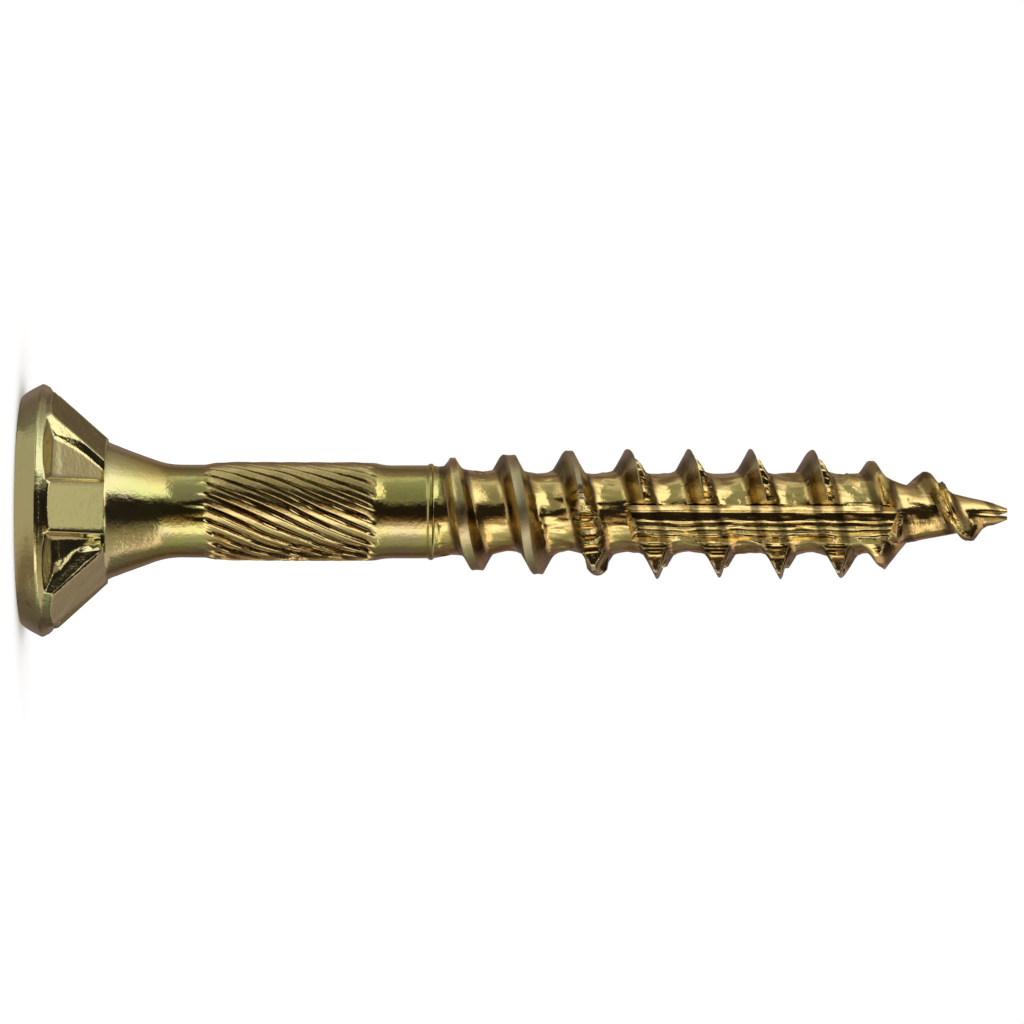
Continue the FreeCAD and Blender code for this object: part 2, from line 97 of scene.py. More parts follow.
# Near the camera one rib is wider on one side, one pocket's floor rises towards it, and another has a wide bevel
WIDE_RIB, BEVELLED_RIB = 1, 5
WIDE_HALF, WIDE_GROWTH = 1.08, 0.14
FLOOR_LIFT, LIFT_ANGLE, LIFT_RISE = 0.24, 0.24, (1.2, 1.7)
WIDE_BEVEL = ((1.1, 0.26), (1.5, 0.42), (2.45, 0.05), (3.3, 0.05))
# Cone between the ribs behind the pockets, and the neck's foot, cone and round
SEAT_END, SEAT_DROP = 3.24, 0.042
NECK_FOOT = ((3.24, 2.735), (3.35, 2.655), (3.5, 2.58), (3.7, 2.51), (3.92, 2.45))
NECK_CONE_END, NECK_CONE_RADIUS, NECK_CONE_ANGLE = 5.151, 1.973, math.radians(20)
NECK_ROUND, NECK_END = 2.92, 6.15
# Six-lobe recess: reach and radius of a lobe, reach of a waist, depth of the walls and of the cone below
LOBE_REACH, LOBE, WAIST_REACH = 2.25, 0.38, 3.25 / 2
RECESS_DEPTH = 2.30
RECESS_FLOOR = ((0.25, 0.41), (0.7, 0.17))
RECESS_CONE_RADIUS = 1.62
SHANK = 1.797
SHANK_END = 16.12
KNURL_CREST = 1.913
SWELL = ((7.10, 0), (7.45, 0.075), (8.2, KNURL_CREST - SHANK), (12.9, KNURL_CREST - SHANK), (13.5, 0.095),
         (13.66, 0.085), (14.0, 0.015), (14.3, 0))
TIP = 38.06
BEAD = ((15.66, 0.0), (15.71, 0.035), (15.76, 0.062), (15.86, 0.065), (15.89, 0.02), (15.93, -0.014), (15.98, -0.020),
        (16.12, -0.045))
CORE = ((16.12, 1.752), (16.42, 1.706), (16.92, 1.65), (17.3, 1.62), (19.0, 1.54),
        (33.05, 1.54), (33.95, 1.17), (36.1, 0.745), (37.25, 0.48), (37.5, 0.42), (37.75, 0.31), (38.06, 0.175))
# Coarse thread: height of the crest of turn 0, full radius of its crest, and by its turns: crest radius, half the
# crest's flat, slope of the flanks
THREAD_HEIGHT = 19.92
FULL_CREST = 2.473
CREST_DISH, WIDE_CREST = 0.018, 0.12
THREAD = ((-1.62, 1.68, 0.04, 0.60), (-1.56, 1.93, 0.05, 0.60), (-1.5, 2.087, 0.09, 0.55), (-1.25, 2.20, 0.21, 0.50),
          (-1.0, 2.25, 0.19, 0.50), (-0.75, 2.23, 0.21, 0.48), (-0.5, 2.225, 0.21, 0.48), (-0.25, 2.31, 0.18, 0.48),
          (0.0, 2.396, 0.14, 0.49), (0.5, 2.37, 0.10, 0.505), (1.0, 2.42, 0.08, 0.505), (1.5, 2.473, 0.06, 0.505),
          (5.0, 2.473, 0.06, 0.505), (5.25, 2.26, 0.06, 0.54), (5.5, 2.01, 0.07, 0.60), (5.75, 1.62, 0.06, 0.62),
          (5.92, 1.25, 0.05, 0.62))
# Second, steeper ridge near the point, in the same way
POINT_PITCH = 3.36
POINT_HEIGHT = 33.27
POINT_THREAD = ((-0.50, 1.40, 0.03, 0.3), (-0.42, 1.68, 0.03, 0.3), (-0.25, 1.78, 0.04, 0.3), (-0.08, 2.06, 0.06, 0.72),
                (0.0, 2.137, 0.06, 0.75), (0.12, 2.02, 0.06, 0.75), (0.25, 1.84, 0.08, 0.80), (0.5, 1.63, 0.08, 0.84),
                (0.58, 1.44, 0.06, 0.70), (0.66, 1.25, 0.05, 0.60), (0.76, 1.20, 0.05, 0.60), (0.9, 1.10, 0.09, 0.60),
                (1.0, 1.03, 0.13, 0.6), (1.10, 0.80, 0.10, 0.6), (1.20, 0.48, 0.08, 0.6))
POINT_FIN = ((0.42, 1.0, 0.03, 0.30), (0.5, 1.25, 0.03, 0.34), (0.62, 1.22, 0.04, 0.55), (0.75, 1.16, 0.05, 0.60),
             (1.0, 0.95, 0.04, 0.5))
# A knob of metal sits on the crest of turn 1
KNOB_TURN, KNOB_TOP, KNOB_ARM, KNOB_FALL, KNOB_LEAST = 1.0, 2.44, 2.3, 1.7, 2.18
# Rounds where the thread, the point's ridge and its fin run into what carries them
VALLEY_ROUND, RIDGE_ROUND, FIN_ROUND = 0.18, 0.06, 0.12
# Where the fin lies beside the point's ridge, by turns
FIN_PATH = ((0.45, 0.62), (0.5, 0.57), (0.62, 0.34), (0.75, 0.27), (1.0, 0.20))
# Section of the flute: distance from its upper edge downwards, and depth from the axis
FLUTE_BED = ((-0.075, 1.54), (-0.05, 1.10), (0.27, 1.085), (0.29, 1.10), (0.37, 1.062), (0.53, 1.045), (0.555, 1.075),
             (0.66, 1.028), (0.77, 1.012), (0.80, 1.075), (0.93, 1.015), (0.945, 1.045), (1.05, 0.995), (1.07, 1.15),
             (1.18, 1.10), (1.20, 1.12), (1.30, 1.07), (1.32, 1.11), (1.50, 1.07), (1.52, 1.10), (1.64, 1.04),
             (1.66, 1.08), (1.80, 1.04), (2.40, 1.0))
FLUTE_PLANE = 1.12
LIP_START, LIP_END = math.radians(-11.5), math.radians(-3.6)
# Ends of the flute: how they lean with the angle, and how steeply they run out
FLUTE_START_LEAN, FLUTE_END_LEAN = 0.30, 0.42
FLUTE_START_SLOPE, FLUTE_END_SLOPE = 4, 1.2
NO_CUT = 9.0
# Split at the very tip, and the mouth where the point was pinched off
SLIT_DEPTH, SLIT_HALF = 0.34, 0.045
MOUTH = ((36.6, 0.0), (37.1, 0.05), (37.9, 0.10), (38.06, 0.13))
MOUTH_MIDDLE = ((36.5, -0.07), (38.06, 0.0))
MOUTH_HALF = 0.075


def table(value, pairs, column=1):
    return np.interp(value, [pair[0] for pair in pairs], [pair[column] for pair in pairs])


def neck_radius(height):
    """Rounded foot, straight cone and concave round down to the shank."""
    foot = table(height, NECK_FOOT)
    cone = NECK_CONE_RADIUS + (NECK_CONE_END - height) * math.tan(NECK_CONE_ANGLE)
    before_end = np.clip(NECK_END - height, 0, 1.0)
    end = SHANK + NECK_ROUND - np.sqrt(np.maximum(NECK_ROUND ** 2 - before_end ** 2, 0))
    return np.where(height < NECK_FOOT[-1][0], foot, np.where(height < NECK_CONE_END, cone, end))


def head_radius(height, from_rib, rib_half, bevel, lift):
    """Outside of the head at a height and an angle from the nearest rib, whose sides have a bevel and a wall."""
    off_rib = np.abs(from_rib)
    flat = (RIB_APEX - height) / np.cos(off_rib)
    shoulder = rib_half + bevel
    level = RIB_APEX - height - BEVEL_SLOPE * (shoulder - rib_half)
    side = (RIB_APEX - height + BEVEL_SLOPE * rib_half) / (np.cos(off_rib) + BEVEL_SLOPE * np.sin(off_rib))
    steep = (level + WALL_SLOPE * shoulder) / (np.cos(off_rib) + WALL_SLOPE * np.sin(off_rib))
    rib = np.minimum(np.minimum(np.minimum(flat, side), steep), RIB_START / np.cos(off_rib))
    rib = np.where(height > RIB_END, 0, rib)
    pocket = table(height, POCKET) / np.cos(HALF_STEP - off_rib)
    pocket = pocket + lift * between(height, *LIFT_RISE) * np.clip((HALF_STEP - off_rib) / LIFT_ANGLE, 0, 1)
    cone = np.where(height < SEAT_END, RIB_APEX - SEAT_DROP - height, neck_radius(height))
    seat = np.maximum(rib, np.where(height < RIB_END, np.minimum(cone, pocket), cone))
    rim = table(height, RIM)
    return np.where(height < RIM_BACK, rim, np.minimum(seat, SEAT_EDGE))


def core_radius(height):
    return table(height, CORE)


def helix(height, azimuth, phase, pitch):
    """Turn of the nearest crest and distance from it along the axis."""
    turns = (height - phase) / pitch - azimuth / (2 * math.pi)
    nearest = np.round(turns)
    return nearest + azimuth / (2 * math.pi), (turns - nearest) * pitch


def crest_path(turn):
    """How far the coarse thread's crest strays along the axis."""
    slow = 0.025 * np.sin(turn * 11.3)
    quick = 0.02 * np.sin(turn * 23.9 + 1.0)
    at_start = 0.20 * np.exp(-((turn + 1.52) / 0.12) ** 2)
    return slow + quick + at_start


def ridge_height(turn, across, shape):
    """Radius of a rolled ridge's section: a flat crest, dished a little where it is wide, and straight flanks."""
    top, half, slope = (table(turn, shape, column) for column in (1, 2, 3))
    beyond = np.maximum(np.abs(across) - half, 0)
    dish = CREST_DISH * (1 - np.clip((across / half) ** 2, 0, 1)) * (half > WIDE_CREST)
    alive = (turn > shape[0][0]) & (turn < shape[-1][0])
    return np.where(alive, top - dish - beyond / slope, 0)


def surface_radius(height, azimuth, pitch, crest_radius):
    """Radius of thread and point before the flute is cut, with the coarse thread's turn and distance."""
    core = core_radius(height)
    turn, across = helix(height, azimuth, THREAD_HEIGHT, pitch)
    across = across - crest_path(turn)
    uneven = 0.020 * np.sin(turn * 29.0) + 0.014 * np.sin(turn * 47.0 + 2)
    # The crest stands a little higher towards +X, the lower side of the picture
    higher = 0.025 * (1 + np.cos(turn * 2 * math.pi)) * between(turn, 1.2, 1.8) * (1 - between(turn, 4.8, 5.2))
    main = ridge_height(turn, across, THREAD) * crest_radius / FULL_CREST
    main = main + np.where(turn > 0.2, uneven, 0) + higher * (np.abs(across) < 0.5)
    knob = KNOB_TOP - np.hypot(across, (turn - KNOB_TURN) * 2 * math.pi * KNOB_ARM) ** 2 * KNOB_FALL
    main = np.maximum(main, np.where(knob > KNOB_LEAST, knob, 0))
    # Valleys sag a little between the turns
    far = between(np.abs(across) / (0.5 * pitch), 0.42, 1.0)
    saddle = (0.024 - 0.058 * far) * between(turn, -1.5, -1.2) * (1 - between(turn, 5.2, 5.5))
    radius = blended_max(core + saddle, main, VALLEY_ROUND) - 0.008
    point_turn, point_across = helix(height, azimuth, POINT_HEIGHT, POINT_PITCH)
    point_across = point_across + 0.10 * np.exp(-((point_turn - 0.74) / 0.12) ** 2)
    point = ridge_height(point_turn, point_across, POINT_THREAD)
    # A thin fin runs beside it towards the point
    fin = ridge_height(point_turn, point_across - table(point_turn, FIN_PATH), POINT_FIN)
    return blended_max(blended_max(radius, point, RIDGE_ROUND), fin, FIN_ROUND) - 0.004, turn, across


def recess_radius(azimuth):
    """Outline of the six-lobe recess: round lobes joined by round waists that touch them."""
    lobe_arm = LOBE_REACH - LOBE
    cos30 = math.cos(HALF_STEP)
    bulge = (lobe_arm ** 2 + WAIST_REACH ** 2 - 2 * lobe_arm * WAIST_REACH * cos30 - LOBE ** 2) / (
        2 * (lobe_arm * cos30 + LOBE - WAIST_REACH))
    arm = WAIST_REACH + bulge
    sector = np.abs((azimuth + HALF_STEP) % RIB_STEP - HALF_STEP)
    touch_x = lobe_arm + (arm * cos30 - lobe_arm) * LOBE / (LOBE + bulge)
    touch_y = arm * 0.5 * LOBE / (LOBE + bulge)
    touch = math.atan2(touch_y, touch_x)
    on_lobe = lobe_arm * np.cos(sector) + np.sqrt(np.maximum(LOBE ** 2 - (lobe_arm * np.sin(sector)) ** 2, 0))
    off = HALF_STEP - sector
    on_waist = arm * np.cos(off) - np.sqrt(np.maximum(bulge ** 2 - (arm * np.sin(off)) ** 2, 0))
    return np.where(sector < touch, on_lobe, on_waist)


def head_columns():
    """Rib nearest to each column, steps from that rib's middle, and columns to a rib."""
    per_rib = COLUMNS // RIBS
    column = np.arange(COLUMNS)
    step = (column + per_rib // 2) % per_rib - per_rib // 2
    sector = np.round((column - step) / per_rib)
    return sector, step, per_rib


def head_rings():
    """Recess, face, rim, seat and neck as rings of points."""
    sector, step, per_rib = head_columns()
    middle = FIRST_RIB + sector * RIB_STEP
    even = step * 2 * math.pi / COLUMNS
    rings = []
    plain = middle + even
    for radius_share, below in RECESS_FLOOR:
        rings.append((plain, np.full(COLUMNS, RECESS_CONE_RADIUS * radius_share), RECESS_DEPTH + below))
    outline = recess_radius(plain)
    for inset, height in ((0.0, RECESS_DEPTH), (0.0, 0.10), (-0.01, 0.04), (-0.04, 0.0)):
        rings.append((plain, outline - inset, height))
    rings.append((plain, outline + (FACE_MIDDLE - outline) * 0.5, 0.0))
    heights = [0.0, 0.012, 0.035, 0.07, 0.14, 0.30, 0.47, 0.60, 0.70, 0.76, 0.77, 0.80, 0.83, 0.89, 0.96,
               1.03, 1.06, 1.085, 1.13, 1.20, 1.27, 1.34, 1.40, 1.45, 1.50, 1.60, 1.66, 1.72, 1.78,
               2.0, 2.3, 2.6, 2.9, 3.12, 3.22, 3.28, 3.298, 3.303, 3.34, 3.42, 3.54, 3.7,
               3.92, 4.3, 4.75, 5.15, 5.4, 5.65, 5.9, 6.15]
    for height in heights:
        reach = max(RIB_APEX - height, 2.5)
        low = min(height, RIB_END)
        on_wide_side = (sector == WIDE_RIB) & (step < 0)
        on_bevelled_side = (sector == BEVELLED_RIB) & (step > 0)
        rib_half = np.where(on_wide_side, WIDE_HALF + WIDE_GROWTH * low, RIB_HALF)
        bevel = np.where(on_bevelled_side, table(low, WIDE_BEVEL), PLAIN_BEVEL)
        lift = np.where(on_wide_side, FLOOR_LIFT, 0)
        # Angles of the rib's edge, of the bevel's foot and of the wall's foot, kept in order and apart
        edge = np.arcsin(np.minimum(rib_half / reach, 0.44))
        shoulder = np.arcsin(np.minimum((rib_half + bevel) / reach, 0.465))
        shoulder = np.maximum(shoulder, edge + 0.012)
        foot = np.arcsin(np.minimum((rib_half + bevel + 0.13 - 0.03 * low) / reach, 0.49))
        foot = np.maximum(foot, shoulder + 0.012)
        # Columns are warped to follow those angles, and are even again on the neck
        stretch = np.interp(np.abs(step), (0, 9, 13, 17, per_rib / 2), (0, 1, 2, 3, 4))
        places = np.stack([np.zeros(COLUMNS), edge, shoulder, foot, np.full(COLUMNS, HALF_STEP)])
        whole = np.minimum(stretch.astype(int), 3)
        column = np.arange(COLUMNS)
        bent = places[whole, column] + (stretch - whole) * (places[whole + 1, column] - places[whole, column])
        bent = np.where(step < 0, -bent, bent)
        weight = 1 - between(np.array(height), 3.4, 5.6)
        turned = weight * bent + (1 - weight) * even
        level = np.full(COLUMNS, height)
        rings.append((middle + turned, head_radius(level, turned, rib_half, bevel, lift), height))
    return rings


def shank_rings(screw):
    """Shank, knurl band and bead. The columns lean with the knurl's grooves."""
    sector, step, per_rib = head_columns()
    base = FIRST_RIB + (sector * per_rib + step) * 2 * math.pi / COLUMNS
    start, end, lead = screw.knurl_start / MM, screw.knurl_end / MM, screw.knurl_lead / MM
    before = [6.6, 7.05]
    after = [13.76, 13.9, 14.1, 14.3, 14.8, 15.3, 15.55, 15.66, 15.71, 15.76, 15.81, 15.86, 15.89, 15.93, 15.98,
             16.05, SHANK_END]
    rings = []
    for height in before + list(np.linspace(start, end, KNURL_ROWS)) + after:
        lean = 2 * math.pi * (np.clip(height, start, end) - start) / lead
        radius = SHANK + table(height, SWELL) + table(height, BEAD)
        rings.append((base + lean, np.full(COLUMNS, radius), height))
    return rings, base + 2 * math.pi * (end - start) / lead


def thread_rows(pitch, azimuth):
    """Heights of the helical rows: on the crest, along its flanks and over the valley between."""
    half = 0.5 * pitch
    rows = []
    for whole in range(FIRST_TURN, LAST_TURN):
        turn = whole + azimuth / (2 * math.pi)
        flat = np.maximum(table(turn, THREAD, 2), 0.05)
        foot = np.clip(flat + (table(turn, THREAD, 1) - 1.50) * table(turn, THREAD, 3), 0.45, 0.64)
        middle = THREAD_HEIGHT + pitch * turn
        crest = middle + crest_path(turn)
        places = [middle - half, middle - foot, crest - flat, crest, crest + flat, crest + foot, middle + half]
        rows += [np.array([np.interp(row, (-1, 0, 1, 2, 3, 4, 5), column) for column in zip(*places)])
                 for row in THREAD_ROWS]
    return np.array(rows)


def flute_radius(height, theta):
    """Radius of the flute's section at an angle below its upper edge, with a raised lip above the edge."""
    waver = 0.016 * np.sin(height * 1.9) + 0.008 * np.sin(height * 5.3 + 1)
    side = FLUTE_PLANE * np.tan(np.clip(theta, -0.6, 1.25))
    bed = table(side + waver * (side > 0.1), FLUTE_BED) / np.cos(np.clip(theta, 0, 1.25))
    along = np.clip((theta - LIP_START) / (LIP_END - LIP_START), 0, 1)
    lip = core_radius(height) + 0.02 + 0.09 * between(along, 0, 0.16) - 0.11 * np.maximum(along - 0.16, 0)
    cut = np.where(theta < LIP_END, lip, bed)
    return np.where(theta < LIP_START, NO_CUT, cut)


def build_screw_mesh(screw):
    """Whole screw as one closed grid, before the rolls' marks are pressed in."""
    pitch = screw.thread_pitch / MM
    crest_radius = screw.thread_radius / MM
    shank, offset = shank_rings(screw)
    rings = head_rings() + shank
    points, turns, across_all, flute_all = [], [], [], []
    for azimuth, radius, height in rings:
        points.append(np.stack([radius * np.cos(azimuth), radius * np.sin(azimuth), np.full(COLUMNS, height)], axis=1))
        turns.append(np.full(COLUMNS, -9.0))
        across_all.append(np.full(COLUMNS, 1.0))
        flute_all.append(np.zeros(COLUMNS))

    # Helical part: column c of row r lies c steps round, and a whole turn on it meets row r + per_turn
    offset = float(offset[0] % (2 * math.pi))
    step = 2 * math.pi / COLUMNS
    azimuth = offset + np.arange(COLUMNS) * step
    free_height = thread_rows(pitch, azimuth)
    keep = (free_height.max(axis=1) > SHANK_END) & (free_height.min(axis=1) < TIP)
    per_turn = len(THREAD_ROWS)
    free_height = free_height[keep]
    azimuth = np.broadcast_to(azimuth, free_height.shape)
    theta = (azimuth - FACES_CAMERA + math.pi) % (2 * math.pi) - math.pi
    # The point is split where it was pinched off
    slit = SLIT_DEPTH * np.exp(-((0.20 * np.sin(theta) - 0.01) / SLIT_HALF) ** 2)
    height = np.minimum(np.maximum(free_height, SHANK_END), TIP - slit)
    radius, turn, across = surface_radius(height, azimuth, pitch, crest_radius)
    # The flute starts steeply, along a thread's flank, and runs out gently on the taper
    start = screw.flute_start / MM + FLUTE_START_LEAN * theta
    end = screw.flute_end / MM - FLUTE_END_LEAN * np.maximum(theta, 0)
    cut = flute_radius(height, theta)
    cut = cut + FLUTE_START_SLOPE * np.maximum(start - height, 0) + FLUTE_END_SLOPE * np.maximum(height - end, 0)
    on_lip = (theta > LIP_START) & (theta < LIP_END) & (height > start) & (height < end)
    radius = np.where(on_lip, cut, np.minimum(radius, cut))
    sideways = radius * np.sin(theta) - table(height, MOUTH_MIDDLE)
    on_near_side = np.abs(theta) < 1.2
    radius = radius - table(height, MOUTH) * np.exp(-(sideways / MOUTH_HALF) ** 2) * on_near_side
    radius = np.where(free_height <= SHANK_END, core_radius(SHANK_END), radius)
    ring_count = len(rings)
    grid = np.stack([radius * np.cos(azimuth), radius * np.sin(azimuth), height], axis=2).reshape(-1, 3)
    for row_set, values in ((points, grid), (turns, turn.ravel()), (across_all, across.ravel()),
                            (flute_all, (cut < 3).astype(float).ravel())):
        row_set.append(values)

    faces = []
    for row in range(ring_count - 1):
        low, high = row * COLUMNS, (row + 1) * COLUMNS
        for c in range(COLUMNS):
            d = (c + 1) % COLUMNS
            faces.append((low + c, low + d, high + d, high + c))
    grid_start = ring_count * COLUMNS
    count = free_height.shape[0]
    for row in range(count - 1):
        low, high = grid_start + row * COLUMNS, grid_start + (row + 1) * COLUMNS
        for c in range(COLUMNS - 1):
            faces.append((low + c, low + c + 1, high + c + 1, high + c))
        if row + 1 + per_turn < count:
            next_low = grid_start + (row + per_turn) * COLUMNS
            next_high = next_low + COLUMNS
            c = COLUMNS - 1
            faces.append((low + c, next_low, next_high, high + c))
    return [np.concatenate(part) for part in (points, turns, across_all, flute_all)] + [faces]


def make_mesh(name, screw):
    points, turn, across, flute, faces = build_screw_mesh(screw)
    mesh = bpy.data.meshes.new(name)
    mesh.from_pydata((points * MM).tolist(), [], faces)
    layers = (("turn", turn), ("across", across * MM), ("off_crest", np.abs(across) * MM), ("flute", flute))
    for title, values in layers:
        layer = mesh.attributes.new(title, "FLOAT", "POINT")
        layer.data.foreach_set("value", values.astype(np.float32))
    cleaned = bmesh.new()
    cleaned.from_mesh(mesh)
    bmesh.ops.remove_doubles(cleaned, verts=cleaned.verts, dist=0.0000005)
    bmesh.ops.dissolve_degenerate(cleaned, edges=cleaned.edges, dist=0.0000002)
    open_edges = [edge for edge in cleaned.edges if edge.is_boundary]
    lids = bmesh.ops.holes_fill(cleaned, edges=open_edges, sides=0)["faces"]
    # The lid over the tip sinks below the split
    for middle in bmesh.ops.poke(cleaned, faces=lids)["verts"]:
        if middle.co.z > 0.5 * TIP * MM:
            middle.co.z = (TIP - SLIT_DEPTH - 0.02) * MM
    bmesh.ops.recalc_face_normals(cleaned, faces=cleaned.faces)
    cleaned.to_mesh(mesh)
    cleaned.free()
    return mesh


class Formula:
    """Math nodes written as calls, in a geometry or shader tree."""

    def __init__(self, tree, geometry=True):
        self.tree = tree
        self.geometry = geometry

    def node(self, kind, **settings):
        made = self.tree.nodes.new(kind)
        for title, value in settings.items():
            setattr(made, title, value)
        return made

    def plug(self, socket, value):
        if isinstance(value, bpy.types.NodeSocket):
            self.tree.links.new(value, socket)
        elif value is not None:
            socket.default_value = value

    def math(self, operation, *values, clamp=False):
        made = self.node("ShaderNodeMath", operation=operation, use_clamp=clamp)
        for socket, value in zip(made.inputs, values):
            self.plug(socket, value)
        return made.outputs[0]

    def add(self, one, other):
        return self.math("ADD", one, other)

    def less(self, one, other):
        return self.math("SUBTRACT", one, other)

    def times(self, one, other):
        return self.math("MULTIPLY", one, other)

    def over(self, one, other):
        return self.math("DIVIDE", one, other)

    def rise(self, value, low, high, to_low=0.0, to_high=1.0, kind="SMOOTHSTEP"):
        """Change from one value to another between two places."""
        made = self.node("ShaderNodeMapRange", interpolation_type=kind)
        for socket, given in zip(made.inputs, (value, low, high, to_low, to_high)):
            self.plug(socket, given)
        return made.outputs[0]

    def noise(self, place, scale, detail=2.0, roughness=0.5, extra=None):
        made = self.node("ShaderNodeTexNoise", noise_dimensions="4D")
        self.plug(made.inputs["Vector"], place)
        self.plug(made.inputs["Scale"], scale)
        self.plug(made.inputs["Detail"], detail)
        self.plug(made.inputs["Roughness"], roughness)
        self.plug(made.inputs["W"], extra)
        return made.outputs["Fac"]

    def mix(self, one, other, share):
        made = self.node("ShaderNodeMix", data_type="RGBA")
        for socket, value in zip((made.inputs[0], made.inputs[6], made.inputs[7]), (share, one, other)):
            self.plug(socket, (*value, 1) if isinstance(value, tuple) else value)
        return made.outputs[2]

    def attribute(self, title):
        if self.geometry:
            made = self.node("GeometryNodeInputNamedAttribute", data_type="FLOAT")
            made.inputs["Name"].default_value = title
            return made.outputs["Attribute"]
        made = self.node("ShaderNodeAttribute", attribute_name=title)
        return made.outputs["Fac"]


RELIEF_INPUTS = (
    ("Grooves", "NodeSocketInt", "grooves"), ("Groove lead", "NodeSocketFloat", "knurl_lead"),
    ("Groove depth", "NodeSocketFloat", "groove_depth"), ("Knurl start", "NodeSocketFloat", "knurl_start"),
    ("Knurl end", "NodeSocketFloat", "knurl_end"), ("Notches a turn", "NodeSocketFloat", "notches"),
    ("Thread radius", "NodeSocketFloat", "thread_radius"),
    ("Notch depth", "NodeSocketFloat", "notch_depth"), ("First notched turn", "NodeSocketFloat", "notch_first"),
    ("Last notched turn", "NodeSocketFloat", "notch_last"), ("Lump height", "NodeSocketFloat", "lump_height"),
    ("Seed", "NodeSocketInt", "seed"), ("Material", "NodeSocketMaterial", None),
)


# The tree works in metres, as the mesh does. Faces of a groove: the shares of its width where each one starts and
# ends, and the share of the depth that it adds
GROOVE_STEPS = ((0.14, 0.60, 0.45), (0.60, 0.70, 0.55), (0.87, 1.0, -1.0))
# Share of a notch that its long face takes
LONG_FACE = 0.58
# From turn 1 on, the notches leave the crest whole and lie in the flank towards the point
NOTCH_TURNS = (1.0, 1.3)
NOTCH_EDGES = (-0.00040, 0.00007)
NOTCH_FLOORS = (0.00040, 0.00031)
NOTCH_EASE = 0.00009
NOTCH_TILT = 0.12
NOTCH_LOWEST = 0.00166


